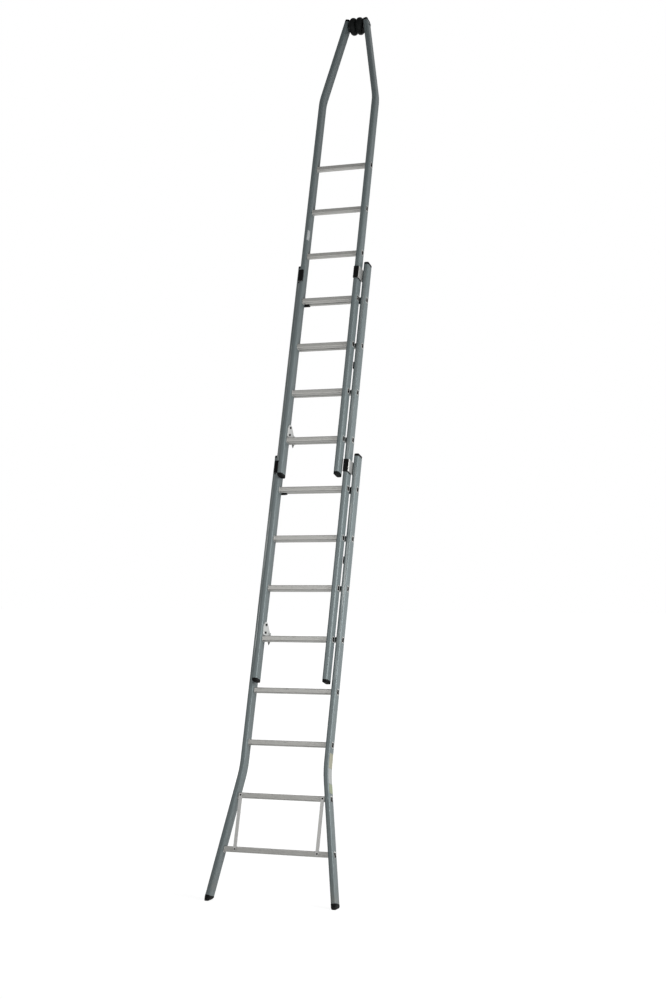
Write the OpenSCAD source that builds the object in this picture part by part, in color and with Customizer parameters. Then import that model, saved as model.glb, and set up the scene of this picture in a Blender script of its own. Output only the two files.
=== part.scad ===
// Three-section window cleaner's ladder, leaning at its working angle.
// The splayed base section stands on rubber feet. The middle section slides in
// front of it and the pointed top section in front of that, each hung on the
// rungs behind by a pair of hooks and held in by guide brackets.
// Lengths are millimetres, angles are degrees. The origin lies on the floor,
// midway between the soles of the feet. +X runs along the rungs, +Y towards
// the wall and +Z up.

/* [Working position] */
// Lean of the ladder from vertical
lean = 16.4; // [12:0.2:20]

/* [Rungs] */
// Spacing of the rungs, the same on every section
rung_pitch = 280; // [260:5:300]
// Rungs of the base section
base_rungs = 8; // [7:1:9]
// Rungs of the middle section
middle_rungs = 8; // [7:1:9]
// Rungs of the top section
top_rungs = 7; // [6:1:8]
// Rungs that lie one in front of the other where two sections overlap
overlap_rungs = 4; // [3:1:5]
// Height and depth of a rung
rung_size = 28; // [26:1:30]
// Corner radius of a rung
rung_r = 6; // [4:0.5:7]
// Wall of a rung
rung_wall = 2; // [1.5:0.1:2.5]
// Depth of the grip grooves along a rung
groove_depth = 0.8; // [0.4:0.1:1]
// Width of a grip groove
groove_w = 2; // [1.5:0.1:2.4]
// Width of the flange that swages a rung to its stiles
flange_w = 2; // [1:0.5:3]
// Thickness of that flange
flange_t = 1.2; // [0.8:0.1:1.5]

/* [Stile tube] */
// Width of the oval tube, along the rungs
stile_w = 29; // [28:1:34]
// Depth of the oval tube
stile_d = 65; // [60:1:70]
// Corner radius of the oval tube
stile_r = 10; // [8:0.5:13]
// Wall of the oval tube
stile_wall = 2; // [1.5:0.1:2.5]

/* [Base section] */
// Distance between the stiles of the base section, centre to centre
base_width = 468; // [440:2:520]
// Height of the lowest rung above the soles, along the ladder
first_rung = 264; // [240:2:300]
// Angle by which the legs splay outwards
splay = 9.5; // [6:0.5:12]
// Radius of the bend where the legs begin to splay
splay_bend_r = 600; // [400:20:700]
// Tube above the base section's highest rung
base_head = 186; // [170:2:230]
// Height of a foot above its sole, along the leg
foot_h = 21; // [20:1:34]

/* [Middle section] */
// Tube below the middle section's lowest rung
middle_tail = 220; // [190:2:240]
// Tube above the middle section's highest rung
middle_head = 210; // [170:2:240]

/* [Top section] */
// Tube below the top section's lowest rung
top_tail = 198; // [180:2:240]
// Distance from the highest rung to where the stiles turn in
taper_start = 444; // [430:2:470]
// Angle by which the stiles turn in towards the point
taper = 11.4; // [10:0.1:11.8]
// Radius of the bend where the stiles turn in
taper_bend_r = 300; // [200:20:400]
// Distance from that bend to the wheels' axle
axle_up = 504; // [470:2:510]
// Tube beyond the axle
tip_h = 23; // [20:1:26]

/* [Wall wheels] */
// Diameter of a wheel
wheel_d = 104; // [90:1:108]
// Width of a wheel
wheel_w = 38; // [36.5:0.5:38.5]
// Radius of a wheel's rounded shoulders
wheel_shoulder = 18; // [12:0.5:18.5]
// Diameter of a wheel's bush
bush_d = 24; // [20:1:28]
// Diameter of the axle
axle_d = 10; // [8:1:12]

/* [Guide brackets] */
// Thickness of a guide bracket's plate
guide_t = 3; // [2:0.5:4]
// Height of a guide bracket
guide_h = 70; // [60:1:90]
// Distance from the tube's end down to a bracket's middle
guide_drop = 74; // [70:1:86]
// Thickness of the plastic on each face of a bracket's front leg
guide_pad_t = 2.5; // [1.5:0.5:3.5]
// Room between a front stile's side and the plate beside it
side_clear = 1.5; // [0.8:0.1:1.5]
// Room in front of and behind a sliding stile
face_clear = 0.5; // [0.3:0.1:1]

/* [Slide blocks] */
// Thickness of the slide blocks on a section's highest rung
block_t = 5; // [4:0.5:7]
// Length of a slide block along its rung
block_l = 56; // [50:1:62]
// Distance from a section's highest rung down to its wear pads
pad_drop = 406; // [396:2:420]
// Height of a wear pad
pad_h = 40; // [34:1:46]

/* [Hooks] */
// Distance by which a front section's rungs hang below those behind
hook_drop = 10; // [8:1:12]
// Thickness of a hook's plate
hook_t = 4; // [3:0.5:5]
// Width of a hook's tongue
tongue_w = 12; // [10:1:14]
// Length of the tongue below the rung that it holds
tongue_l = 16; // [12:1:20]
// Diameter of the rivets that hold a hook
hook_rivet_d = 8; // [6:1:9]

/* [Braces] */
// Width of a brace
brace_w = 18; // [16:1:20]
// Thickness of a brace
brace_t = 4; // [3:0.5:5]
// Distance from a brace's middle to the stile beside its upper end
brace_inset = 15; // [13:1:18]
// Diameter of the rivets that hold a brace
brace_rivet_d = 6; // [5:1:7]

/* [Hidden] */
$fn = 64;
over = 1;
// Room of a fixed pin, plug or rung in its hole, all round
fit = 0.1;
// Room of the axle in a bush, all round
running_fit = 0.05;
// Free side play of a wheel
side_play = 0.2;
// Gap between a hook and the rung that it hangs on
rest_gap = 0.3;
// How much a tube draws in, all round, where it is bent
bend_draw = 0.02;

// How the three layers of tubes lie beside and in front of one another
step_x = stile_w + guide_t + 2 * side_clear;
step_y = stile_d / 2 + rung_size / 2 + block_t + face_clear;
half = [base_width / 2, base_width / 2 - step_x, base_width / 2 - 2 * step_x];
depth = [0, -step_y, -2 * step_y];

// Rungs of each section: how many, and how high the lowest lies
rungs = [base_rungs, middle_rungs, top_rungs];
middle_first = first_rung + (base_rungs - overlap_rungs) * rung_pitch - hook_drop;
top_first = middle_first + (middle_rungs - overlap_rungs) * rung_pitch - hook_drop;
first = [first_rung, middle_first, top_first];

// The splayed legs: the knee lies midway between the second and third rungs
knee = first_rung + 1.5 * rung_pitch;
splay_tangent = splay_bend_r * tan(splay / 2);
foot_x = half[0] + knee * tan(splay);
leg_l = knee / cos(splay);

// The pointed end of the top section
shoulder = last_rung(2) + taper_start;
taper_tangent = taper_bend_r * tan(taper / 2);
axle_z = shoulder + axle_up;
axle_x = half[2] - axle_up * tan(taper);
tube_end = [last_rung(0) + base_head, last_rung(1) + middle_head];

// End caps
cap_head = 15;
cap_edge = 3;
cap_plug = 12;

// Foot: the sole is cut level with the floor and its edges are rounded in
sole_edge = 7;
sole_rise = 6;
foot_plug = 30;

// Wheels on their axle, outwards from the middle plane
mid_washer = 1;
bush_in = mid_washer + side_play;
bush_out = bush_in + wheel_w + 2.2;
spacer_in = bush_out + side_play;
washer_out = axle_x + stile_w / 2 / cos(taper) + 2.6;
washer_d = axle_d + 10;
axle_head_h = 3;
axle_head_d = 1.9 * axle_d;
nut_h = 4;

// Guide bracket, seen from above, from the front stile's centre outwards
plate_in = stile_w / 2 + 2 * side_clear;
leg_in = stile_d / 2 + face_clear + guide_pad_t;
bend_in = 7;
bend_out = bend_in + guide_t;
leg_end = stile_w / 2 - 4;
guide_rivet_d = 5;
guide_rivet_gap = 44;
plate_back = 14;

// Slide blocks and wear pads
block_up = 10;
block_down = 28;
block_lip = 5;
block_lip_d = 22;
pad_t = guide_t;
pad_d = 30;
pad_edge = 1.5;
pad_shift = (stile_d - pad_d) / 2 - pad_edge;
peg_d = 8;

// Hook rivets, measured from the rung that the hook hangs on
hook_rivet_up = [26, 68];
hook_rivet_back = 12;
hook_round = 5;
hook_front = 16;
hook_top = 84;
tongue_gap = 1;
blind_h = 3;

// Grip grooves
side_grooves = [-5, 0, 5];
top_grooves = [-6, -2, 2, 6];

function rung_z(section, i) = first[section] + i * rung_pitch;
function last_rung(section) = rung_z(section, rungs[section] - 1);
// Where a base stile's centre lies at a height, and how far it tilts there
function base_x(z) = half[0] + max(0, knee - z) * tan(splay);
function base_tilt(z) = z < knee - splay_tangent ? splay : 0;

// ---- Placing ----

// From ladder coordinates, upright, to the leaning ladder
module leaning() rotate([-lean, 0, 0]) children();

// Everything is drawn for the right-hand side and mirrored for the left
module left() mirror([1, 0, 0]) children();

module both_sides() {
    children();
    left() children();
}

// Extrudes an outline drawn in Y and Z along X, outwards from x
module along_x(x, length) translate([x, 0, 0]) rotate([90, 0, 90]) linear_extrude(length) children();

// ---- Outlines ----

module rounded_rect(w, h, r) {
    square([w - 2 * r, h], center = true);
    square([w, h - 2 * r], center = true);
    for (x = [-1, 1], y = [-1, 1]) translate([x * (w / 2 - r), y * (h / 2 - r)]) circle(r);
}

// Outline of the stile tube, grown all round
module oval(grow = 0) rounded_rect(stile_w + 2 * grow, stile_d + 2 * grow, stile_r + grow);

module rung_outline(grow = 0) rounded_rect(rung_size + 2 * grow, rung_size + 2 * grow, rung_r + grow);

// A rung's outline with grooves on its front, its back and its tread
module grooved_outline() {
    difference() {
        rung_outline();
        for (face = [-1, 1], z = side_grooves)
            translate([face * rung_size / 2, z]) square([2 * groove_depth, groove_w], center = true);
        for (y = top_grooves)
            translate([y, rung_size / 2]) square([groove_w, 2 * groove_depth], center = true);
    }
}

// ---- Rivets: the head lies on x = 0 towards -X and the shank runs along +X ----

// A round head, cut from a ball as large as twice the shank
module rivet_head(d) rotate_extrude() intersection() {
    translate([0, 0.6 * d]) circle(d);
    translate([0, -0.4 * d]) square([0.8 * d, 0.4 * d]);
}

module blind_rivet(d, grip) {
    rotate([0, 90, 0]) {
        rivet_head(d);
        cylinder(h = grip, d = d);
        translate([0, 0, grip]) cylinder(h = blind_h, d1 = 1.5 * d, d2 = d);
    }
}

module rivet_hole(d, length) rotate([0, 90, 0]) cylinder(h = length, d = d + 2 * fit);

// ---- Stiles ----

// A solid run that goes up, bends towards -X and runs on, as far as extra past each end.
// The straight lengths reach into the bend, where the section is a hair smaller.
module bent_run(straight, radius, angle, run_on, grow, extra) {
    translate([0, 0, -extra]) linear_extrude(straight + extra + over) oval(grow);
    translate([-radius, 0, straight]) {
        rotate([90, 0, 0]) rotate_extrude(angle = angle) translate([radius, 0]) oval(grow - bend_draw);
        rotate([0, -angle, 0]) translate([radius, 0, -over]) linear_extrude(run_on + extra + over) oval(grow);
    }
}

module bent_tube(straight, radius, angle, run_on) {
    difference() {
        bent_run(straight, radius, angle, run_on, 0, 0);
        bent_run(straight, radius, angle, run_on, -stile_wall, over);
    }
}

// Holes through both walls of a stile for the rungs of its section
module rung_holes(section) {
    for (i = [0:rungs[section] - 1]) {
        z = rung_z(section, i);
        x = section == 0 ? base_x(z) : half[section];
        translate([0, depth[section], z]) along_x(x - stile_w, 2 * stile_w) rung_outline(fit);
    }
}

// Holes through a rear stile's inner wall for its bracket and its wear pad
module guide_holes(section) {
    x = half[section] - stile_w / 2 - over;
    for (z = [-1, 1] * guide_rivet_gap / 2)
        translate([x, depth[section], tube_end[section] - guide_drop + z])
            rivet_hole(guide_rivet_d, stile_wall + 2 * over);
    translate([x, depth[section] - pad_shift, last_rung(section) - pad_drop])
        rivet_hole(peg_d, stile_wall + 2 * over);
}

// Holes through a front stile's inner wall for its hook
module hook_holes(section) {
    for (z = hook_rivet_up)
        translate([half[section] - stile_w / 2 - over, depth[section] + hook_rivet_back, first[section] + hook_drop + z])
            rivet_hole(hook_rivet_d, stile_wall + 2 * over);
}

module base_stile() {
    straight = tube_end[0] - knee - splay_tangent;
    difference() {
        translate([half[0], 0, tube_end[0]]) rotate([0, 180, 0])
            bent_tube(straight, splay_bend_r, splay, leg_l - splay_tangent - foot_h);
        rung_holes(0);
        guide_holes(0);
    }
}

module middle_stile() {
    bottom = first[1] - middle_tail;
    difference() {
        translate([half[1], depth[1], bottom]) linear_extrude(tube_end[1] - bottom) difference() {
            oval();
            oval(-stile_wall);
        }
        rung_holes(1);
        guide_holes(1);
        hook_holes(1);
    }
}

module top_stile() {
    bottom = first[2] - top_tail;
    run_on = axle_up / cos(taper) - taper_tangent + tip_h;
    difference() {
        translate([half[2], depth[2], bottom])
            bent_tube(shoulder - taper_tangent - bottom, taper_bend_r, taper, run_on);
        rung_holes(2);
        hook_holes(2);
        translate([axle_x - stile_w, depth[2], axle_z]) rivet_hole(axle_d, 2 * stile_w);
    }
}

// ---- Rungs ----

// A rung between stiles whose centres lie x out and lean by tilt at its height
module rung(section, i, rivet_x = 0) {
    z = rung_z(section, i);
    x = section == 0 ? base_x(z) : half[section];
    tilt = section == 0 ? base_tilt(z) : 0;
    reach = x + stile_w;
    translate([0, depth[section], z]) difference() {
        union() {
            difference() {
                along_x(-reach, 2 * reach) grooved_outline();
                both_sides() translate([x, 0, 0]) rotate([0, -tilt, 0])
                    translate([stile_w / 2 + flange_t, -rung_size, -rung_size])
                        cube([2 * stile_w, 2 * rung_size, 2 * rung_size]);
            }
            both_sides() translate([x, 0, 0]) rotate([0, -tilt, 0]) {
                along_x(stile_w / 2, flange_t) rung_outline(flange_w);
                along_x(-stile_w / 2 - flange_t, flange_t) rung_outline(flange_w);
            }
        }
        along_x(-reach, 2 * reach) rung_outline(-rung_wall);
        if (rivet_x > 0) both_sides()
            translate([rivet_x, -rung_size / 2 - over, 0]) rotate([0, 0, 90])
                rivet_hole(brace_rivet_d, rung_wall + 2 * over);
    }
}

// ---- Feet and end caps ----

// An end cap on a tube's end at z = 0, pointing up
module end_cap() {
    hull() {
        linear_extrude(cap_head - cap_edge) oval($fn = 32);
        linear_extrude(cap_head) oval(-cap_edge, $fn = 32);
    }
    translate([0, 0, -cap_plug]) linear_extrude(cap_plug + over) oval(-stile_wall - fit);
}

// A level slice of the right foot at height h above the floor
module sole_slice(h, inset) {
    translate([foot_x - h * tan(splay) / cos(lean), h * tan(lean), h])
        linear_extrude(over) oval(-inset, $fn = 32);
}

module foot() {
    hull() {
        leaning() leg_frame() translate([0, 0, foot_h - over]) linear_extrude(over) oval($fn = 32);
        sole_slice(sole_rise, 0);
        sole_slice(0, sole_edge);
    }
    leaning() leg_frame() translate([0, 0, foot_h - over])
        linear_extrude(foot_plug + over) oval(-stile_wall - fit);
}

// Along the right leg, from the middle of its sole
module leg_frame() translate([foot_x, 0, 0]) rotate([0, -splay, 0]) children();

// Along the right tip of the top section, from its tube's end
module tip_frame() {
    translate([axle_x, depth[2], axle_z]) rotate([0, -taper, 0]) translate([0, 0, tip_h]) children();
}

// ---- Guide brackets, each on a rear stile and round the front stile ----

// From the front stile's centre at the middle of the bracket
module guide_frame(section) {
    translate([half[section + 1], depth[section + 1], tube_end[section] - guide_drop]) children();
}

module guide_outline() {
    translate([-leg_end, -leg_in - guide_t]) square([leg_end + plate_in - bend_in, guide_t]);
    translate([plate_in, -leg_in + bend_in]) square([guide_t, leg_in - bend_in + step_y + plate_back]);
    translate([plate_in - bend_in, -leg_in + bend_in]) intersection() {
        difference() {
            circle(bend_out);
            circle(bend_in);
        }
        translate([0, -bend_out]) square(bend_out);
    }
}

module guide_plate(section) {
    guide_frame(section) difference() {
        translate([0, 0, -guide_h / 2]) linear_extrude(guide_h) guide_outline();
        for (z = [-1, 1] * guide_rivet_gap / 2)
            translate([plate_in - over, step_y, z]) rivet_hole(guide_rivet_d, guide_t + 2 * over);
    }
}

// Plastic clip over the bracket's front leg
module guide_pad(section) {
    outer_end = leg_end + guide_pad_t + fit;
    length = outer_end + plate_in - bend_in;
    guide_frame(section) translate([0, 0, -guide_h / 2]) linear_extrude(guide_h) difference() {
        translate([-outer_end + length / 2, -leg_in - guide_t / 2])
            rounded_rect(length, guide_t + 2 * guide_pad_t, 2);
        translate([-leg_end - fit, -leg_in - guide_t]) square([length, guide_t]);
    }
}

module guide_rivets(section) {
    for (z = [-1, 1] * guide_rivet_gap / 2)
        guide_frame(section) translate([plate_in, step_y, z]) blind_rivet(guide_rivet_d, guide_t + stile_wall);
}

// ---- Slide blocks and wear pads of a rear section ----

// Block that grips the front and underside of the highest rung's end
module slide_block(section) {
    inner = half[section] - stile_w / 2 - flange_t - block_l;
    front = -rung_size / 2;
    translate([0, depth[section], last_rung(section)]) along_x(inner, block_l) {
        translate([front - block_t, -block_down]) square([block_t, block_down + block_up]);
        translate([front - over, front - block_lip]) square([block_lip_d + over, block_lip]);
    }
}

// Pad on a rear stile's inner face, snapped into the wall by a peg
module wear_pad(section) {
    translate([half[section] - stile_w / 2, depth[section] - pad_shift, last_rung(section) - pad_drop]) {
        along_x(-pad_t, pad_t) rounded_rect(pad_d, pad_h, 4);
        rotate([0, 90, 0]) translate([0, 0, -over]) cylinder(h = stile_wall + over, d = peg_d);
        rotate([0, 90, 0]) translate([0, 0, stile_wall]) cylinder(h = blind_h, d1 = peg_d + 2, d2 = peg_d - 1);
    }
}

// ---- Hooks of a front section ----

// From the centre of the rear rung, at the front stile's inner face
module hook_frame(section) {
    translate([half[section] - stile_w / 2, depth[section] + step_y, first[section] + hook_drop]) children();
}

module hook(section) {
    seat = rung_size / 2 + rest_gap;
    back = rung_size / 2 + tongue_gap + hook_t;
    front = -step_y - hook_front;
    throat = -rung_size / 2 - 3;
    hook_frame(section) difference() {
        union() {
            along_x(-hook_t, hook_t) difference() {
                offset(hook_round, $fn = 32) offset(-hook_round) polygon([
                    [front, seat - hook_round],
                    [front, hook_top - 18],
                    [front + 18, hook_top],
                    [-24, hook_top],
                    [back + hook_round, seat + 24],
                    [back + hook_round, seat - hook_round],
                ]);
                translate([throat, 0]) square([2 * rung_size, seat]);
                translate([back, 0]) square([2 * hook_round, hook_top]);
            }
            translate([0, back, 0]) rotate([90, 0, 0]) linear_extrude(hook_t) polygon([
                [-tongue_w, seat + 24],
                [0, seat + 24],
                [0, -rung_size / 2 - 2],
                [-tongue_w / 2 + 1, -rung_size / 2 - tongue_l],
                [-tongue_w / 2 - 1, -rung_size / 2 - tongue_l],
                [-tongue_w, -rung_size / 2 - 2],
            ]);
        }
        for (z = hook_rivet_up)
            translate([-hook_t - over, hook_rivet_back - step_y, z]) rivet_hole(hook_rivet_d, hook_t + 2 * over);
    }
}

module hook_rivets(section) {
    for (z = hook_rivet_up)
        hook_frame(section) translate([-hook_t, hook_rivet_back - step_y, z])
            blind_rivet(hook_rivet_d, hook_t + stile_wall);
}

// ---- Braces between the two lowest rungs ----

function brace_x() = base_x(rung_z(0, 1)) - stile_w / 2 / cos(splay) - brace_inset;

module brace() {
    translate([brace_x(), -rung_size / 2, first_rung]) rotate([90, 0, 0]) difference() {
        linear_extrude(brace_t) {
            translate([-brace_w / 2, 0]) square([brace_w, rung_pitch]);
            for (y = [0, rung_pitch]) translate([0, y]) circle(d = brace_w);
        }
        for (y = [0, rung_pitch]) translate([0, y, -over]) cylinder(h = brace_t + 2 * over, d = brace_rivet_d + 2 * fit);
    }
}

module brace_rivet(i) {
    translate([brace_x(), -rung_size / 2 - brace_t, rung_z(0, i)]) rotate([0, 0, 90])
        blind_rivet(brace_rivet_d, brace_t + rung_wall);
}

// ---- Wheels, each on a bush on the axle ----

// From the middle of the axle, with +Z turned along +X
module axle_frame() translate([0, depth[2], axle_z]) rotate([0, 90, 0]) children();

module wheel_tyre() {
    axle_frame() rotate_extrude() intersection() {
        translate([0, bush_in + wheel_w / 2]) rounded_rect(wheel_d, wheel_w, wheel_shoulder);
        translate([bush_d / 2, 0]) square([wheel_d, 2 * wheel_w]);
    }
}

module wheel_bush() {
    axle_frame() translate([0, 0, bush_in]) difference() {
        cylinder(h = bush_out - bush_in, d = bush_d);
        translate([0, 0, -over]) cylinder(h = bush_out, d = axle_d + 2 * running_fit);
    }
}

module axle() {
    axle_frame() {
        translate([0, 0, -washer_out]) cylinder(h = 2 * washer_out + nut_h + 1, d = axle_d);
        translate([0, 0, -washer_out - axle_head_h]) cylinder(h = axle_head_h, d = axle_head_d, $fn = 6);
    }
}

module nut() {
    axle_frame() translate([0, 0, washer_out]) difference() {
        cylinder(h = nut_h, d = axle_head_d, $fn = 6);
        translate([0, 0, -over]) cylinder(h = nut_h + 2 * over, d = axle_d + 2 * fit);
    }
}

// Spacer inside and bevelled washer outside the right-hand tip
module tip_washers() {
    difference() {
        axle_frame() translate([0, 0, spacer_in]) cylinder(h = washer_out - spacer_in, d = washer_d);
        tip_frame() translate([-stile_w / 2, -stile_d / 2, -2 * stile_d]) cube([stile_w, stile_d, 3 * stile_d]);
        axle_frame() cylinder(h = 2 * washer_out, d = axle_d + 2 * fit);
    }
}

module middle_washer() {
    axle_frame() translate([0, 0, -mid_washer]) difference() {
        cylinder(h = 2 * mid_washer, d = washer_d);
        translate([0, 0, -over]) cylinder(h = 2 * mid_washer + 2 * over, d = axle_d + 2 * fit);
    }
}

// ---- Colours ----

module coated() color([0.42, 0.47, 0.48]) children();
module bare_metal() color([0.72, 0.72, 0.70]) children();
module black_plastic() color([0.09, 0.10, 0.10]) children();
module dark_steel() color([0.20, 0.21, 0.21]) children();

// ---- Base section ----

module base_left_stile() coated() leaning() left() base_stile();
module base_right_stile() coated() leaning() base_stile();
module base_rung(i) bare_metal() leaning() rung(0, i, i < 2 ? brace_x() : 0);
module left_foot() black_plastic() left() foot();
module right_foot() black_plastic() foot();
module base_top_caps() black_plastic() leaning() both_sides()
    translate([half[0], 0, tube_end[0]]) end_cap();
module base_guide_plates() bare_metal() leaning() both_sides() guide_plate(0);
module base_guide_pads() black_plastic() leaning() both_sides() guide_pad(0);
module base_guide_rivets() bare_metal() leaning() both_sides() guide_rivets(0);
module base_slide_blocks() black_plastic() leaning() both_sides() slide_block(0);
module base_wear_pads() black_plastic() leaning() both_sides() wear_pad(0);
module base_braces() bare_metal() leaning() both_sides() brace();
module brace_rivets() dark_steel() leaning() both_sides() for (i = [0, 1]) brace_rivet(i);

// ---- Middle section ----

module middle_left_stile() coated() leaning() left() middle_stile();
module middle_right_stile() coated() leaning() middle_stile();
module middle_rung(i) bare_metal() leaning() rung(1, i);
module middle_top_caps() black_plastic() leaning() both_sides()
    translate([half[1], depth[1], tube_end[1]]) end_cap();
module middle_bottom_caps() black_plastic() leaning() both_sides()
    translate([half[1], depth[1], first[1] - middle_tail]) mirror([0, 0, 1]) end_cap();
module middle_guide_plates() bare_metal() leaning() both_sides() guide_plate(1);
module middle_guide_pads() black_plastic() leaning() both_sides() guide_pad(1);
module middle_guide_rivets() bare_metal() leaning() both_sides() guide_rivets(1);
module middle_slide_blocks() black_plastic() leaning() both_sides() slide_block(1);
module middle_wear_pads() black_plastic() leaning() both_sides() wear_pad(1);
module middle_hooks() bare_metal() leaning() both_sides() hook(1);
module middle_hook_rivets() dark_steel() leaning() both_sides() hook_rivets(1);

// ---- Top section and wheels ----

module top_left_stile() coated() leaning() left() top_stile();
module top_right_stile() coated() leaning() top_stile();
module top_rung(i) bare_metal() leaning() rung(2, i);
module tip_caps() black_plastic() leaning() both_sides() tip_frame() end_cap();
module top_bottom_caps() black_plastic() leaning() both_sides()
    translate([half[2], depth[2], first[2] - top_tail]) mirror([0, 0, 1]) end_cap();
module top_hooks() bare_metal() leaning() both_sides() hook(2);
module top_hook_rivets() dark_steel() leaning() both_sides() hook_rivets(2);
module wheel_axle() dark_steel() leaning() axle();
module axle_nut() dark_steel() leaning() nut();
module axle_washers() dark_steel() leaning() {
    both_sides() tip_washers();
    middle_washer();
}
module left_wheel_tyre() black_plastic() leaning() left() wheel_tyre();
module left_wheel_bush() dark_steel() leaning() left() wheel_bush();
module right_wheel_tyre() black_plastic() leaning() wheel_tyre();
module right_wheel_bush() dark_steel() leaning() wheel_bush();

base_left_stile();
base_right_stile();
for (i = [1:base_rungs]) base_rung(i - 1);
left_foot();
right_foot();
base_top_caps();
base_guide_plates();
base_guide_pads();
base_guide_rivets();
base_slide_blocks();
base_wear_pads();
base_braces();
brace_rivets();
middle_left_stile();
middle_right_stile();
for (i = [1:middle_rungs]) middle_rung(i - 1);
middle_top_caps();
middle_bottom_caps();
middle_guide_plates();
middle_guide_pads();
middle_guide_rivets();
middle_slide_blocks();
middle_wear_pads();
middle_hooks();
middle_hook_rivets();
top_left_stile();
top_right_stile();
for (i = [1:top_rungs]) top_rung(i - 1);
tip_caps();
top_bottom_caps();
top_hooks();
top_hook_rivets();
wheel_axle();
axle_nut();
axle_washers();
left_wheel_tyre();
left_wheel_bush();
right_wheel_tyre();
right_wheel_bush();
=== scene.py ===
"""A three-section ladder, leaning and fully extended: its finishes, its moulded rubber and plastic
pieces and its labels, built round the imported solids."""
import math

import bpy
import numpy as np
from mathutils import Matrix


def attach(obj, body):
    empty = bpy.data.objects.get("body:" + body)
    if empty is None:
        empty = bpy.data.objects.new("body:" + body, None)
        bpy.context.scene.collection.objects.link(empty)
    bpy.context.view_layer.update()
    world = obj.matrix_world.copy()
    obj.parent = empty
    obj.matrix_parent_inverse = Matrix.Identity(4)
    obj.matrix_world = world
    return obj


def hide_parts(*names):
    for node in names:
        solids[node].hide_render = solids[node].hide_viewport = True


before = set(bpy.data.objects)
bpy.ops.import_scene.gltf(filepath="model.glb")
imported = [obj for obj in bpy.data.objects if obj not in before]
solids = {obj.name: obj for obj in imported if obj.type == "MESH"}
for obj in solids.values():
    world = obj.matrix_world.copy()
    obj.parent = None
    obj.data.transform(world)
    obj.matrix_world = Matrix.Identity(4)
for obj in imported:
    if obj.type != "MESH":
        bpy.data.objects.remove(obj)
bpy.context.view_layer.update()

# Sizes in metres, in the ladder's own upright coordinates: x along the rungs, y to the wall and
# z up the stiles
LEAN = math.radians(16.4)
SPLAY = math.radians(9.5)
TAPER = math.radians(11.4)
STILE_W, STILE_D, STILE_R = 0.029, 0.065, 0.010
FOOT_X = 0.34846
AXLE_Z = 5.112
RUNG_PITCH = 0.280

# Of each section: the right-hand stile's x, the stiles' y, the lowest rung's z, how many rungs
HALF = {"base": 0.234, "middle": 0.199, "top": 0.164}
DEPTH = {"base": 0.0, "middle": -0.052, "top": -0.104}
FIRST_RUNG = {"base": 0.264, "middle": 1.374, "top": 2.484}
RUNGS = {"base": 8, "middle": 8, "top": 7}


# ---- Camera and lamps ----

def set_camera():
    """A long lens at a standing person's height, in front of the ladder and to its right."""
    turn, pitch, roll = math.radians(20.313), math.radians(2.486), math.radians(-0.092)
    place = (3.3012, -8.0019, 1.6837)
    look = np.array([-math.sin(turn) * math.cos(pitch), math.cos(turn) * math.cos(pitch),
                     math.sin(pitch)])
    level = np.array([math.cos(turn), math.sin(turn), 0.0])
    up = np.cross(level, look)
    right = level * math.cos(roll) + up * math.sin(roll)
    up = up * math.cos(roll) - level * math.sin(roll)
    data = bpy.data.cameras.new("camera")
    data.sensor_fit = "VERTICAL"
    data.sensor_height = 24.0
    data.lens = 40.506
    data.clip_end = 200.0
    camera = bpy.data.objects.new("camera", data)
    camera.matrix_world = Matrix((
        (right[0], up[0], -look[0], place[0]),
        (right[1], up[1], -look[1], place[1]),
        (right[2], up[2], -look[2], place[2]),
        (0, 0, 0, 1)))
    bpy.context.scene.collection.objects.link(camera)
    bpy.context.scene.camera = camera


def add_lamp(name, place, target, size, power):
    """A square soft box at place, turned to face target."""
    data = bpy.data.lights.new(name, "AREA")
    data.shape = "SQUARE"
    data.size = size
    data.energy = power
    lamp = bpy.data.objects.new(name, data)
    aim = np.array(target, float) - np.array(place, float)
    tip_up = math.acos(-aim[2] / np.linalg.norm(aim))
    lamp.rotation_euler = (tip_up, 0, math.atan2(aim[1], aim[0]) - math.pi / 2)
    lamp.location = place
    bpy.context.scene.collection.objects.link(lamp)


# ---- Shader maths ----

class Value:
    """One number of a node tree. Arithmetic on it adds Math nodes, so a mask reads as a sum."""

    def __init__(self, nodes, socket):
        self.nodes = nodes
        self.socket = socket

    def maths(self, operation, *others):
        return self.nodes.node("ShaderNodeMath", {"operation": operation}, dict(enumerate(others)))

    def __add__(self, other):
        return self.maths("ADD", self, other)

    __radd__ = __add__

    def __sub__(self, other):
        return self.maths("SUBTRACT", self, other)

    def __rsub__(self, other):
        return self.maths("SUBTRACT", other, self)

    def __mul__(self, other):
        return self.maths("MULTIPLY", self, other)

    __rmul__ = __mul__

    def __abs__(self):
        return self.maths("ABSOLUTE", self)

    def most(self, other):
        return self.maths("MAXIMUM", self, other)

    def step(self, low, high):
        """0 below low and 1 above high, with a smooth rise between. low may be above high."""
        span = {"From Min": low, "From Max": high, "Value": self}
        return self.nodes.node("ShaderNodeMapRange", {"interpolation_type": "SMOOTHSTEP"}, span)


class Nodes:
    """A node tree, which one method fills."""

    def __init__(self, tree):
        self.tree = tree

    def node(self, kind, settings=None, inputs=None, output=0):
        """Adds a node: its settings first, then values or links for its sockets, by name or number."""
        made = self.tree.nodes.new(kind)
        for key, setting in (settings or {}).items():
            setattr(made, key, setting)
        for key, value in (inputs or {}).items():
            self.feed(made.inputs[key], value)
        return Value(self, made.outputs[output])

    def feed(self, socket, value):
        if isinstance(value, Value):
            self.tree.links.new(value.socket, socket)
        elif isinstance(value, tuple) and len(value) == 3 and socket.type == "RGBA":
            socket.default_value = (*value, 1)
        else:
            socket.default_value = value


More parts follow.
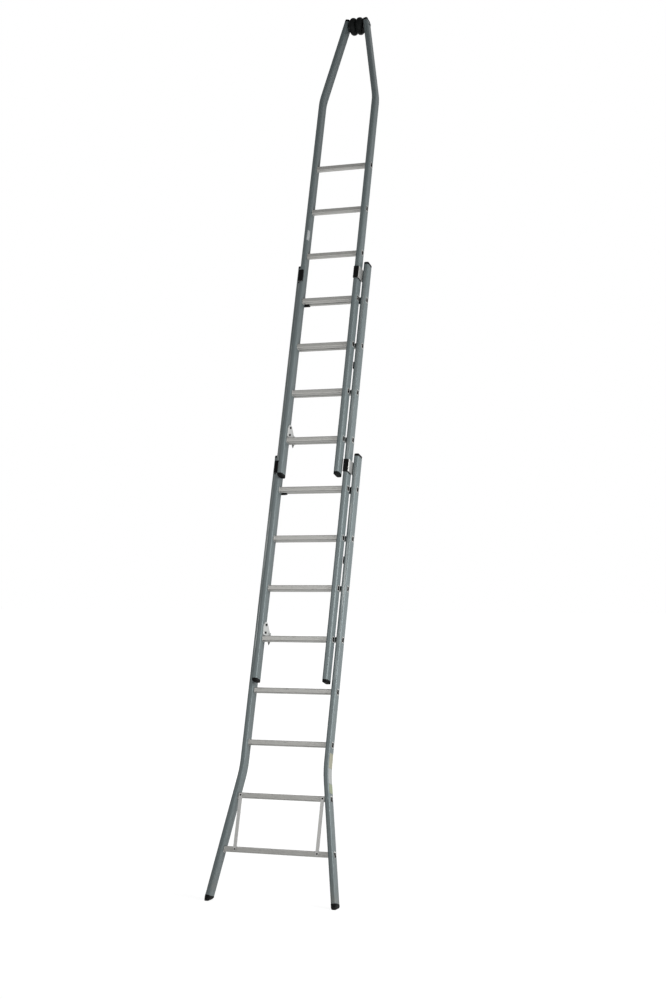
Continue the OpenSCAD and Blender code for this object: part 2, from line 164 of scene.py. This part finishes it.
class Finish(Nodes):
    """A material. Its patterns read the ladder's own upright coordinates, in metres."""

    def __init__(self, name, **fixed):
        self.material = bpy.data.materials.new(name)
        self.material.use_nodes = True
        super().__init__(self.material.node_tree)
        self.shader = self.tree.nodes["Principled BSDF"]
        for socket, number in fixed.items():
            self.shader.inputs[socket.replace("_", " ")].default_value = number
        self.coordinates = self.node("ShaderNodeTexCoord", output="Object")
        self.x, self.y, self.z = self.parts(self.cells((1, 1, 1)))

    def cells(self, size):
        """Coordinates up the ladder, counted in cells of that size in metres."""
        turned = {"Vector": self.coordinates, "Rotation": (-LEAN, 0, 0), "Scale": size}
        return self.node("ShaderNodeMapping", {"vector_type": "TEXTURE"}, turned)

    def parts(self, vector):
        split = self.node("ShaderNodeSeparateXYZ", {}, {0: vector}).socket.node
        return [Value(self, socket) for socket in split.outputs]

    def noise(self, size, detail=2.0, roughness=0.5, shift=0.0):
        """Noise from 0 to 1 whose lumps have that size in metres along x, y and z. A shift makes
        it a different noise of the same size."""
        place = self.cells(size)
        if shift:
            moved = {0: place, 1: (shift, shift, shift)}
            place = self.node("ShaderNodeVectorMath", {"operation": "ADD"}, moved)
        lumps = {"Vector": place, "Scale": 1.0, "Detail": detail, "Roughness": roughness}
        return self.node("ShaderNodeTexNoise", {}, lumps)

    def facing(self):
        """The surface's outward direction as x, y and z up the ladder."""
        normal = self.node("ShaderNodeNewGeometry", output="True Normal")
        turned = {"Vector": normal, "Rotation": (-LEAN, 0, 0)}
        return self.parts(self.node("ShaderNodeMapping", {"vector_type": "TEXTURE"}, turned))

    def mix(self, mask, low, high):
        """The colour low where mask is 0 and high where it is 1."""
        made = self.node("ShaderNodeMix", {"data_type": "RGBA"}).socket.node
        for number, value in ((0, mask), (6, low), (7, high)):
            self.feed(made.inputs[number], value)
        return Value(self, made.outputs[2])

    def bump(self, height, distance, strength=1.0, under=None):
        """Relief where height is 0 to 1, distance in metres deep, over the relief under."""
        ties = {"Height": height, "Distance": distance, "Strength": strength}
        if under:
            ties["Normal"] = under
        return self.node("ShaderNodeBump", {}, ties)

    def surface(self, colour, roughness=None, metallic=None, normal=None):
        """Feeds the shader what is given, and hands back the material."""
        pairs = {"Base Color": colour, "Roughness": roughness, "Metallic": metallic,
                 "Normal": normal}
        for name, value in pairs.items():
            if value is not None:
                self.feed(self.shader.inputs[name], value)
        return self.material


# ---- Room and floor ----

def add_room():
    """A world that is white to the camera, a graded grey room in reflections, brighter towards the
    wall, and a dim even light on everything else."""
    world = bpy.data.worlds.new("studio")
    bpy.context.scene.world = world
    world.use_nodes = True
    nodes = Nodes(world.node_tree)
    direction = nodes.node("ShaderNodeTexCoord", output="Generated")
    towards_wall = nodes.node("ShaderNodeSeparateXYZ", {}, {0: direction}, "Y")
    span = {"Value": towards_wall, "From Min": -0.5, "From Max": 0.5, "To Min": 0.30, "To Max": 0.80}
    room = nodes.node("ShaderNodeMapRange", {}, span)
    camera_ray = nodes.node("ShaderNodeLightPath")
    glossy_ray = nodes.node("ShaderNodeLightPath", output="Is Glossy Ray")
    light = nodes.node("ShaderNodeMix", {}, {"Factor": glossy_ray, "A": 0.12, "B": room})
    strength = nodes.node("ShaderNodeMix", {}, {"Factor": camera_ray, "A": light, "B": 1.0})
    backdrop = world.node_tree.nodes["Background"]
    nodes.feed(backdrop.inputs["Color"], (1, 1, 1))
    nodes.feed(backdrop.inputs["Strength"], strength)


def add_floor():
    """A wide pale floor just below z = 0. It glows white where the camera or a reflection sees it,
    a little less near the ladder, and throws little light on the ladder."""
    far, low = 60, -0.0002
    mesh = bpy.data.meshes.new("floor")
    corners = [(-far, -far, low), (far, -far, low), (far, far, low), (-far, far, low)]
    mesh.from_pydata(corners, [], [(0, 1, 2, 3)])
    floor = bpy.data.objects.new("floor", mesh)
    bpy.context.scene.collection.objects.link(floor)
    pale = Finish("pale_floor", Roughness=0.9, Emission_Strength=1.0)
    camera_ray = pale.node("ShaderNodeLightPath")
    glossy_ray = pale.node("ShaderNodeLightPath", output="Is Glossy Ray")
    away = pale.node("ShaderNodeVectorMath", {"operation": "LENGTH"}, {0: pale.coordinates}, "Value")
    glow = camera_ray.most(glossy_ray) * (0.88 + away.step(1.5, 6.0) * 0.12)
    pale.feed(pale.shader.inputs["Emission Color"], pale.mix(glow, (0, 0, 0), (1, 1, 1)))
    colour = pale.mix(camera_ray, (0.40, 0.40, 0.40), (0.16, 0.16, 0.16))
    mesh.materials.append(pale.surface(colour))


# ---- Finishes ----

def coated_tube(name, rub_faces):
    """Grey coating on an oval tube: faint draw lines, orange peel, scuffs and rubbed lengths. Each
    of rub_faces is a length from one z to another and the side, -1 in front or 1 behind."""
    f = Finish(name, Specular_IOR_Level=0.35)
    cloud = f.noise((0.10, 0.10, 0.35), 3)
    lines = f.noise((0.0016, 0.0016, 0.6), 2)
    peel = f.noise((0.0012, 0.0012, 0.0012), 1)
    nicks = f.noise((0.0022, 0.0022, 0.030), 2, 0.6, 7.3)
    patch = f.noise((0.05, 0.05, 0.16), 2, 0.5, 3.1)
    scuff = nicks.step(0.65, 0.73) * patch.step(0.52, 0.68)
    ny = f.facing()[1]
    rub = 0.0
    for low, high, side in rub_faces:
        reach = f.z.step(low - 0.03, low + 0.05) * f.z.step(high + 0.03, high - 0.05)
        flat = (ny * side).step(0.75, 0.97)
        rub = rub + reach * flat
    track = rub * f.noise((0.0035, 0.0035, 0.22), 3, 0.6, 1.7).step(0.44, 0.62)
    wear = scuff.most(track * 0.75)
    colour = f.mix(cloud, (0.119, 0.146, 0.150), (0.142, 0.170, 0.175))
    colour = f.mix(lines * 0.30, colour, (0.19, 0.212, 0.212))
    colour = f.mix(wear, colour, (0.31, 0.325, 0.32))
    dust = f.z.step(0.16, 0.0) * f.noise((0.02, 0.02, 0.05), 3).step(0.35, 0.7) * 0.5
    colour = f.mix(dust, colour, (0.24, 0.22, 0.19))
    roughness = 0.46 + cloud * 0.08 + dust * 0.3 - wear * 0.08
    normal = f.bump(peel, 0.00006, 0.8, f.bump(lines, 0.00008, 0.8))
    return f.surface(colour, roughness, 0.25 + wear * 0.6, normal)


def rung_metal(section):
    """Bare drawn aluminium: lines along the rung, a tread polished by shoes, bright flared ends and
    a bore painted near-black as the shade inside the hollow rung; the bore is wherever a point is
    nearer a rung's middle line than the flare."""
    f = Finish(f"{section}_rung_metal")
    draw = f.noise((0.5, 0.0007, 0.0007), 2)
    cloud = f.noise((0.12, 0.02, 0.02), 3)
    grain = f.noise((0.004, 0.0006, 0.0006), 2)
    nx, _, nz = f.facing()
    tread = nz.step(0.6, 0.95) * (1 - abs(f.x).step(0.03, 0.14))
    tread = tread * f.noise((0.03, 0.006, 0.02), 3).step(0.3, 0.62)
    stain = f.noise((0.02, 0.008, 0.008), 4, 0.6, 5.0).step(0.58, 0.74)
    above = f.z.maths("PINGPONG", f.z - FIRST_RUNG[section], RUNG_PITCH / 2)
    # Painted shade: the bore, the inside of the hollow rung, is drawn near-black.
    bore = abs(f.y - DEPTH[section]).most(above).step(0.0130, 0.0122)
    flare = abs(nx).step(0.85, 0.95) * (1 - bore)
    colour = f.mix(draw, (0.38, 0.377, 0.359), (0.47, 0.466, 0.445))
    colour = f.mix(cloud * 0.5, colour, (0.43, 0.43, 0.415))
    colour = f.mix(tread * 0.6, colour, (0.54, 0.54, 0.525))
    colour = f.mix(stain * 0.45, colour, (0.26, 0.255, 0.238))
    colour = f.mix(flare, colour, (0.56, 0.56, 0.55))
    # Painted shade: near-black in the bore.
    colour = f.mix(bore, colour, (0.006, 0.006, 0.006))
    roughness = 0.50 + stain * 0.16 - tread * 0.14 + cloud * 0.05 + bore * 0.4
    metallic = (0.62 - stain * 0.25) * (1 - bore)
    normal = f.bump(draw, 0.00010, 1.0, f.bump(grain, 0.00004, 0.6))
    return f.surface(colour, roughness, metallic, normal)


def bright_plate(name, light, dark):
    """Sheared and pressed plate, brushed, with a dull bloom and scratches from handling."""
    f = Finish(name)
    brush = f.noise((0.0009, 0.0009, 0.02), 2)
    bloom = f.noise((0.014, 0.014, 0.014), 4)
    scratch = f.noise((0.0010, 0.006, 0.0012), 2, 0.5, 2.2).step(0.66, 0.72)
    colour = f.mix(bloom, dark, light)
    colour = f.mix(brush * 0.25, colour, light)
    colour = f.mix(scratch * 0.5, colour, (0.30, 0.30, 0.29))
    roughness = 0.42 + bloom * 0.14
    normal = f.bump(brush, 0.00006, 0.8, f.bump(scratch, -0.00008, 0.8))
    return f.surface(colour, roughness, 0.8, normal)


def black_plastic(name, tone=0.0045):
    """Moulded black plastic: fine spark grain, an uneven tone, greyer where it is rubbed and along
    its edges."""
    f = Finish(name, Specular_IOR_Level=0.06)
    spark = {"Vector": f.cells((0.0006, 0.0006, 0.0006)), "Scale": 1.0}
    grain = f.node("ShaderNodeTexVoronoi", {}, spark)
    cloud = f.noise((0.02, 0.02, 0.03), 3)
    rub = f.noise((0.003, 0.003, 0.009), 3, 0.6).step(0.60, 0.72)
    edge = f.node("ShaderNodeNewGeometry", output="Pointiness").step(0.53, 0.60)
    paler = (tone * 1.6, tone * 1.65, tone * 1.65)
    colour = f.mix(cloud, (tone, tone * 1.05, tone * 1.05), paler)
    colour = f.mix(rub.most(edge) * 0.35, colour, (0.030, 0.031, 0.031))
    roughness = 0.52 + cloud * 0.14 + rub * 0.12
    return f.surface(colour, roughness, None, f.bump(grain, 0.00003, 0.5))


def moulded_rubber(name, dusty, on_ground):
    """Black rubber with a matt skin and grey scuffs, dustier near the floor where it stands on it."""
    f = Finish(name, Specular_IOR_Level=0.06)
    skin = f.noise((0.0011, 0.0011, 0.0011), 3)
    cloud = f.noise((0.018, 0.018, 0.018), 3)
    scuff = f.noise((0.004, 0.010, 0.004), 4, 0.65, 4.4).step(0.54, 0.70)
    colour = f.mix(cloud, (0.0054, 0.0060, 0.0060), (0.0108, 0.0120, 0.0120))
    colour = f.mix(scuff * dusty, colour, (0.045, 0.045, 0.042))
    if on_ground:
        ground = f.z.step(0.010, 0.001) * f.noise((0.006, 0.006, 0.006), 3).step(0.4, 0.7)
        colour = f.mix(ground * 0.35, colour, (0.10, 0.095, 0.085))
    roughness = 0.56 + cloud * 0.14 + scuff * 0.16
    return f.surface(colour, roughness, None, f.bump(skin, 0.00010, 0.7))


def turned_steel(name, tone, roughness=0.32):
    """Plated steel, dulled, with fine turned marks."""
    f = Finish(name)
    marks = f.noise((0.0008, 0.0008, 0.0008), 3)
    bloom = f.noise((0.006, 0.006, 0.006), 3)
    colour = f.mix(bloom, tuple(c * 0.72 for c in tone), tone)
    return f.surface(colour, roughness + bloom * 0.16, 0.85, f.bump(marks, 0.00005, 0.8))


def label_film(name, tone):
    """Plain coloured label film, faded and scuffed, with no print."""
    f = Finish(name)
    fade = f.noise((0.02, 0.02, 0.05), 3)
    scratch = f.noise((0.0012, 0.0012, 0.015), 2, 0.6, 6.0).step(0.64, 0.70)
    dirt = f.noise((0.006, 0.006, 0.010), 4, 0.6, 2.5).step(0.56, 0.72)
    colour = f.mix(fade * 0.5, tone, tuple(c * 0.80 for c in tone))
    colour = f.mix(scratch * 0.6, colour, (0.30, 0.31, 0.30))
    colour = f.mix(dirt * 0.35, colour, (0.16, 0.15, 0.13))
    return f.surface(colour, 0.38 + dirt * 0.25, None, f.bump(fade, 0.0001, 0.4))


# ---- Surfaces ----

def lean(points):
    """Turns upright ladder coordinates into the leaning ladder's: back about x by the lean."""
    c, s = math.cos(LEAN), math.sin(LEAN)
    return points @ np.array([[1, 0, 0], [0, c, -s], [0, s, c]])


def tilt(points, angle):
    """Turns points about y, so that +z leans towards -x by angle."""
    c, s = math.cos(angle), math.sin(angle)
    return points @ np.array([[c, 0, s], [0, 1, 0], [-s, 0, c]])


def oval(count=96):
    """The tube's outline as points (x, y) and outward directions, evenly spaced by length: four
    straight sides and four quarter circles, counter-clockwise from +x."""
    radius = STILE_R
    a, b = STILE_W / 2 - radius, STILE_D / 2 - radius
    quarter = math.pi / 2 * radius
    runs = np.array([b, quarter, 2 * a, quarter, 2 * b, quarter, 2 * a, quarter, b])
    ends = np.concatenate([[0], np.cumsum(runs)])
    s = np.arange(count) / count * ends[-1]
    k = np.clip(np.searchsorted(ends, s, side="right") - 1, 0, 8)
    t = s - ends[k]
    quarters = np.array([0, 0, 1, 1, 2, 2, 3, 3, 4])[k]
    turn = np.where(k % 2 == 1, t / radius, 0) + quarters * math.pi / 2
    out = np.stack([np.cos(turn), np.sin(turn)], 1)
    along = np.stack([-out[:, 1], out[:, 0]], 1)
    start = np.array([[a + radius, 0], [a, b], [a, b + radius], [-a, b], [-a - radius, b],
                      [-a, -b], [-a, -b - radius], [a, -b], [a + radius, -b]])
    straight = start[k] + along * t[:, None]
    corner = np.array([[a, b], [a, b], [a, b], [-a, b], [-a, b], [-a, -b], [-a, -b], [a, -b],
                       [a, -b]])[k]
    return np.where((k % 2 == 1)[:, None], corner + out * radius, straight), out


def grid_mesh(name, grid, finish, body, slot, rings=True, round_again=False, angle=40):
    """A mesh over grid[row, column, xyz]. With rings, each row closes on itself, and the first and
    last rows are closed by fans to their middles, or joined to each other with round_again."""
    rows, columns = grid.shape[:2]
    index = np.arange(rows * columns).reshape(rows, columns)
    low, high = (index, np.roll(index, -1, axis=0)) if round_again else (index[:-1], index[1:])
    low_after, high_after = np.roll(low, -1, axis=1), np.roll(high, -1, axis=1)
    quads = np.stack([low, low_after, high_after, high], -1)
    quads = quads if rings else quads[:, :-1]
    points, fans = grid.reshape(-1, 3), np.zeros((0, 3), int)
    if rings and not round_again:
        points = np.concatenate([points, grid[0].mean(0)[None], grid[-1].mean(0)[None]])
        first, last = np.full(columns, rows * columns), np.full(columns, rows * columns + 1)
        start = np.stack([index[0], first, np.roll(index[0], -1)], 1)
        end = np.stack([index[-1], np.roll(index[-1], -1), last], 1)
        fans = np.concatenate([start, end])
    mesh = bpy.data.meshes.new(name)
    mesh.from_pydata(points.tolist(), [], quads.reshape(-1, 4).tolist() + fans.tolist())
    mesh.validate()
    mesh.polygons.foreach_set("use_smooth", np.ones(len(mesh.polygons), bool))
    mesh.set_sharp_from_angle(angle=math.radians(angle))
    mesh.materials.append(finish)
    piece = bpy.data.objects.new(name, mesh)
    bpy.context.scene.collection.objects.link(piece)
    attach(piece, body)
    return piece


def mirrored(grid):
    """The same surface on the ladder's other side, its rings reversed so that it still faces out."""
    return grid[:, ::-1] * np.array([-1, 1, 1])


# ---- Moulded pieces ----

def tube_rings(outline, out, inset, height):
    """One ring of the tube's outline for each inset and height, drawn in by the inset."""
    flat = outline[None] - out[None] * inset[:, None, None]
    return np.concatenate([flat, np.broadcast_to(height[:, None, None], (*flat.shape[:2], 1))], 2)


def end_cap():
    """A cap on a tube's end at z = 0: rings of the tube's outline, a lip, a straight wall, a quarter
    circle drawn in at the top and a shallow dish."""
    outline, out = oval()
    turn = np.linspace(0, math.pi / 2, 9)
    round_r = 0.0042
    inset = np.concatenate([[0.0021, 0.0021, -0.0001, -0.0003, -0.0003, 0.0001, 0.0001],
                            round_r * (1 - np.cos(turn)), [0.0058, 0.0064, 0.0082]])
    height = np.concatenate([[-0.012, 0.0001, 0.0001, 0.0004, 0.0022, 0.0026, 0.0070],
                             0.0108 + round_r * np.sin(turn), [0.0150, 0.0146, 0.0144]])
    return tube_rings(outline, out, inset, height)


def foot():
    """A rubber foot, from inside the tube, round its end, up outside it and down to the floor: rings
    of the tube's outline along the leg with one groove, blended row by row into level rings whose
    edge is a quarter of an ellipse."""
    outline, out = oval(160)
    part, turn = np.linspace(0, 1, 9)[1:], np.linspace(0, math.pi / 2, 11)
    along = np.concatenate([[0.051, 0.0212, 0.0212, 0.0236, 0.0236, 0.0232, 0.0210, 0.0191, 0.0184,
                             0.0177, 0.0170], 0.0170 - 0.0070 * part])
    inset = np.concatenate([[0.0021, 0.0021, 0.0, 0.0, -0.0005, -0.0009, -0.0009, -0.0008, -0.0001,
                             -0.0008, -0.0008], 0.0016 * part ** 2 - 0.0008])
    level = np.concatenate([np.full(11, 0.010), 0.0100 - 0.0045 * part,
                            0.0055 - 0.0055 * np.sin(turn), [0.0]])
    blend = np.concatenate([np.zeros(11), part ** 2 * (3 - 2 * part), np.ones(12)])
    leg = lean(tilt(tube_rings(outline, out, inset, along), SPLAY) + np.array([FOOT_X, 0, 0]))
    sole_inset = np.concatenate([inset, 0.0052 - 0.0044 * np.cos(turn), [0.0065]])
    sole = tube_rings(outline, out, sole_inset, level)
    sole[..., 0] += FOOT_X - level[:, None] * math.tan(SPLAY) / math.cos(LEAN)
    sole[..., 1] += level[:, None] * math.tan(LEAN)
    leg = np.concatenate([leg, sole[len(leg):]])
    return ((1 - blend)[:, None, None] * leg + blend[:, None, None] * sole)[::-1]


def tyre():
    """A barrel wheel about x, from its bush's seat out over one face, round the tread and back: a
    flat face with a sunk ring, shoulders of a quarter circle, a parting line at the middle."""
    half, radius, shoulder, bore = 0.0190, 0.0519, 0.0180, 0.0120
    turn = np.linspace(0, math.pi / 2, 16)
    ring_low, ring_high, step = 0.0185, 0.0265, 0.0010
    face = np.array([[bore, half - step], [bore + 0.0005, half], [ring_low - step, half],
                     [ring_low, half - step], [ring_high, half - step], [ring_high + step, half],
                     [radius - shoulder - step, half]])
    arc = np.stack([radius - shoulder + shoulder * np.sin(turn),
                    half - shoulder + shoulder * np.cos(turn)], 1)
    seam = np.array([[radius, 0.00045], [radius + 0.0001, 0.00015]])
    side = np.concatenate([face, arc, seam])
    profile = np.concatenate([side, side[::-1] * [1, -1]])
    angle = np.arange(96) / 96 * 2 * math.pi
    ring = np.stack([0 * angle, np.cos(angle), np.sin(angle)], 1)
    out, across = profile[::-1, 0, None, None], profile[::-1, 1, None, None]
    return out * ring[None] + across * np.array([1, 0, 0])


def leg_centre(z):
    """Where a base stile's middle lies at heights z, and its slant there: straight, then an arc of
    the bend's radius about the knee, then straight along the splayed leg."""
    knee, bend, top_x = 0.684, 0.6, HALF["base"]
    reach = bend * math.tan(SPLAY / 2)
    slant = np.arcsin(np.clip((knee + reach - z) / bend, 0, math.sin(SPLAY)))
    arc = top_x + bend - bend * np.cos(slant)
    leg = top_x + (knee - z) * math.tan(SPLAY)
    return np.where(slant < SPLAY - 1e-6, arc, leg), slant


def top_left_centre(z):
    """Where the top section's left stile's middle lies below its bend, where it doesn't slant."""
    return -HALF["top"] + 0 * z, 0 * z


def standing_strip(path_x, path_y, heights, place):
    """The sheet that a path seen from above sweeps from one height to the next, moved to place."""
    grid = np.broadcast_arrays(path_x[None], path_y[None], np.array(heights)[:, None])
    return lean(np.stack(grid, 2) + np.array(place))


def guide_liner_and_shade_line(place):
    """A thin strip of plastic inside a guide plate, standing proud below it so that its edge there is
    a dark line of painted shade under the plate: along its inner face from the clip, round a quarter
    circle at the corner and back beside the rear stile."""
    corner, face, front, back = 0.0064, 0.0169, -0.0349, 0.016
    turn = np.linspace(-math.pi / 2, 0, 10)
    round_x = face - corner + corner * np.cos(turn)
    round_y = front + corner + corner * np.sin(turn)
    path_x = np.concatenate([round_x, np.full(8, face)])
    path_y = np.concatenate([round_y, np.linspace(front + corner, back, 9)[1:]])
    # The lowest rows stand below the plate and draw the painted shade line under it.
    return standing_strip(path_x, path_y, [-0.0395, -0.035, 0.0, 0.0352], place)


def rivet_cap(x, y, z):
    """A dark cap pressed over a hook's rivet, facing the ladder's middle: rings about x, a straight
    side and a quarter of an ellipse over the top."""
    turn, angle = np.linspace(0, 0.94 * math.pi / 2, 8), np.arange(32) / 32 * 2 * math.pi
    radius = np.concatenate([[0.0066, 0.0066], 0.0065 * np.cos(turn)])
    height = np.concatenate([[0.0001, 0.0028], 0.0030 + 0.0030 * np.sin(turn)])
    ring = np.stack([0 * angle, np.cos(angle), -np.sin(angle)], 1)
    points = radius[:, None, None] * ring[None] - height[:, None, None] * np.array([1, 0, 0])
    return lean(points + np.array([x, y, z]))


def guide_clip(place):
    """The moulded skin over a guide plate's front leg: straight along the leg from the inner side,
    then nearly a tenth of a circle round the plate's corner."""
    corner_x, corner_y, bend = 0.0105, -0.0285, 0.01145
    turn = np.linspace(-math.pi / 2, -math.pi / 3.2, 7)
    path_x = np.concatenate([np.linspace(-0.0120, corner_x, 12)[:-1],
                             corner_x + bend * np.cos(turn)])
    path_y = np.concatenate([np.full(11, corner_y - bend), corner_y + bend * np.sin(turn)])
    return standing_strip(path_x, path_y, [-0.0354, -0.012, 0.012, 0.0354], place)


def wrapped_label(low, high, start, stop, centre, depth):
    """A sheet that lies on a stile between two heights and two distances round the tube from the
    middle of its right-hand face. centre gives the tube's x and slant at each height."""
    count, clear = 480, 0.00005
    outline, out = oval(count)
    length = 2 * (STILE_W + STILE_D) - (8 - 2 * math.pi) * STILE_R
    run = np.arange(round(start / length * count), round(stop / length * count) + 1) % count
    z = np.linspace(low, high, 40)[:, None]
    x, slant = centre(z)
    across, along = (outline[run] + out[run] * clear).T
    x, z = x + across * np.cos(slant), z + across * np.sin(slant)
    return lean(np.stack([x, depth + along + 0 * z, z], 2))


# ---- Making it ----

def dress(names, finish):
    """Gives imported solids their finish."""
    for name in names:
        for holder in solids[name].material_slots:
            holder.material = finish


def add_sides(name, right, finish, body, slot, node=None, **shape):
    """A piece on the right-hand side and its mirror image. node is the solid that both stand for."""
    pieces = []
    for side, surface in (("right", right), ("left", mirrored(right))):
        pieces.append(grid_mesh(f"{name}_{side}", surface, finish, body, slot, **shape))
        if node:
            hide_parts(node)
    return pieces


def thicken(sheet, thickness, offset=0):
    """Gives a sheet its wall: half on each side, or outwards with an offset of 1."""
    wall = sheet.modifiers.new("wall", "SOLIDIFY")
    wall.thickness = thickness
    wall.offset = offset


def tube_cap(x, y, z, slant=0.0, over=False):
    """A cap on a tube's end there; over turns it to point down."""
    grid = end_cap()
    if over:
        grid = grid[:, ::-1] * np.array([1, 1, -1])
    return lean(tilt(grid, slant) + np.array([x, y, z]))


plastic = black_plastic("black_plastic")
rivet_metal = turned_steel("rivet_metal", (0.30, 0.31, 0.31))
dark_rivet = turned_steel("dark_rivet", (0.010, 0.010, 0.011), 0.55)
axle_metal = turned_steel("axle_metal", (0.30, 0.31, 0.32))
guide_plate = bright_plate("guide_plate", (0.45, 0.45, 0.44), (0.34, 0.34, 0.33))
hook_plate = bright_plate("hook_plate", (0.66, 0.67, 0.66), (0.54, 0.55, 0.54))
brace_metal = bright_plate("brace_metal", (0.50, 0.50, 0.49), (0.40, 0.40, 0.39))

for section, rubbed in (("base", [(1.15, 2.35, -1)]),
                        ("middle", [(2.30, 3.50, -1), (1.95, 2.45, 1)]),
                        ("top", [(3.05, 3.60, 1)])):
    dress([f"{section}_left_stile", f"{section}_right_stile"],
          coated_tube(f"{section}_tube", rubbed))
    dress([f"{section}_rung_{i}" for i in range(1, RUNGS[section] + 1)], rung_metal(section))
for section in ("base", "middle"):
    dress([f"{section}_guide_pads", f"{section}_slide_blocks", f"{section}_wear_pads"], plastic)
    dress([f"{section}_guide_plates"], guide_plate)
    dress([f"{section}_guide_rivets"], rivet_metal)
for section in ("middle", "top"):
    dress([f"{section}_hooks"], hook_plate)
    dress([f"{section}_hook_rivets"], dark_rivet)
dress(["base_braces"], brace_metal)
dress(["brace_rivets"], dark_rivet)
dress(["wheel_axle", "axle_nut", "axle_washers"], axle_metal)
dress(["left_wheel_bush", "right_wheel_bush"], black_plastic("bush_plastic", 0.012))

for end, section, z in (("top", "base", 2.410), ("top", "middle", 3.544),
                        ("bottom", "middle", 1.154), ("bottom", "top", 2.286)):
    cap = tube_cap(HALF[section], DEPTH[section], z, over=end == "bottom")
    add_sides(f"{section}_{end}_cap", cap, plastic, f"{section}_section", "black_plastic",
              f"{section}_{end}_caps")

bend_to_axle, axle_to_tip = 0.504, 0.023
tip_x = HALF["top"] - bend_to_axle * math.tan(TAPER) - axle_to_tip * math.sin(TAPER)
tip = tube_cap(tip_x, DEPTH["top"], AXLE_Z + axle_to_tip * math.cos(TAPER), TAPER)
add_sides("tip_cap", tip, plastic, "top_section", "black_plastic", "tip_caps")

foot_rubber = moulded_rubber("foot_rubber", 0.5, True)
right_foot = foot()
for side, surface in (("right", right_foot), ("left", mirrored(right_foot))):
    piece = grid_mesh(f"{side}_rubber_foot", surface, foot_rubber, "base_section", "foot_rubber",
                      angle=60)
    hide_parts(f"{side}_foot")

wheel_rubber = moulded_rubber("wheel_rubber", 0.35, False)
wheel, wheel_x = tyre(), 0.0202
axle = lean(np.array([[0, DEPTH["top"], AXLE_Z]]))[0]
for side, x in (("right", wheel_x), ("left", -wheel_x)):
    piece = grid_mesh(f"{side}_rubber_wheel", wheel + axle + np.array([x, 0, 0]), wheel_rubber,
                      f"{side}_wheel", "wheel_rubber", round_again=True, angle=50)
    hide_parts(f"{side}_wheel_tyre")

for name, section, low, high, start, stop, centre, tone in (
        ("yellow_label", "base", 0.702, 0.780, -0.026, 0.030, leg_centre, (0.275, 0.270, 0.190)),
        ("white_label", "base", 0.620, 0.701, -0.026, 0.030, leg_centre, (0.335, 0.350, 0.342)),
        ("green_label", "base", 0.572, 0.619, -0.026, 0.030, leg_centre, (0.222, 0.255, 0.155)),
        ("inner_label", "top", 3.697, 3.758, -0.037, -0.012, top_left_centre, (0.42, 0.445, 0.45))):
    surface = wrapped_label(low, high, start, stop, centre, DEPTH[section])
    thicken(grid_mesh(name, surface, label_film(name, tone), f"{section}_section",
                      "black_plastic", rings=False), 0.00015, 1)

for section, front, z in (("base", "middle", 2.336), ("middle", "top", 3.470)):
    place = (HALF[front], DEPTH[front], z)
    body = f"{section}_section"
    # The strips' edges below the plates are painted shade, a dark line under each plate's lower edge.
    for strip in add_sides(f"{section}_guide_liner", guide_liner_and_shade_line(place), plastic, body,
                           "black_plastic", rings=False):
        thicken(strip, 0.0010)
    for skin in add_sides(f"{section}_guide_clip", guide_clip(place), plastic, body,
                          "black_plastic", rings=False):
        thicken(skin, 0.0025)
        edge = skin.modifiers.new("edge", "BEVEL")
        edge.width = 0.0007
        edge.segments = 3
        edge.limit_method = "ANGLE"

hook_face, rivet_y = 0.0185, 0.012
for section in ("middle", "top"):
    for height, above in (("lower", 0.036), ("upper", 0.078)):
        knob = rivet_cap(HALF[section] - hook_face, DEPTH[section] + rivet_y,
                         FIRST_RUNG[section] + above)
        add_sides(f"{section}_hook_cap_{height}", knob, plastic, f"{section}_section",
                  "black_plastic")

set_camera()
add_lamp("key", (3.0, -0.25, 2.2), (0, 0.7, 2.2), 2.0, 140)
add_lamp("fill", (-1.0, -3.6, 3.6), (0, 0.9, 3.4), 2.0, 70)
add_lamp("back", (-4.0, 6.0, 3.0), (0, 0.8, 2.4), 3.0, 90)
add_room()
add_floor()

bpy.context.scene.view_settings.view_transform = "Standard"
bpy.context.view_layer.update()
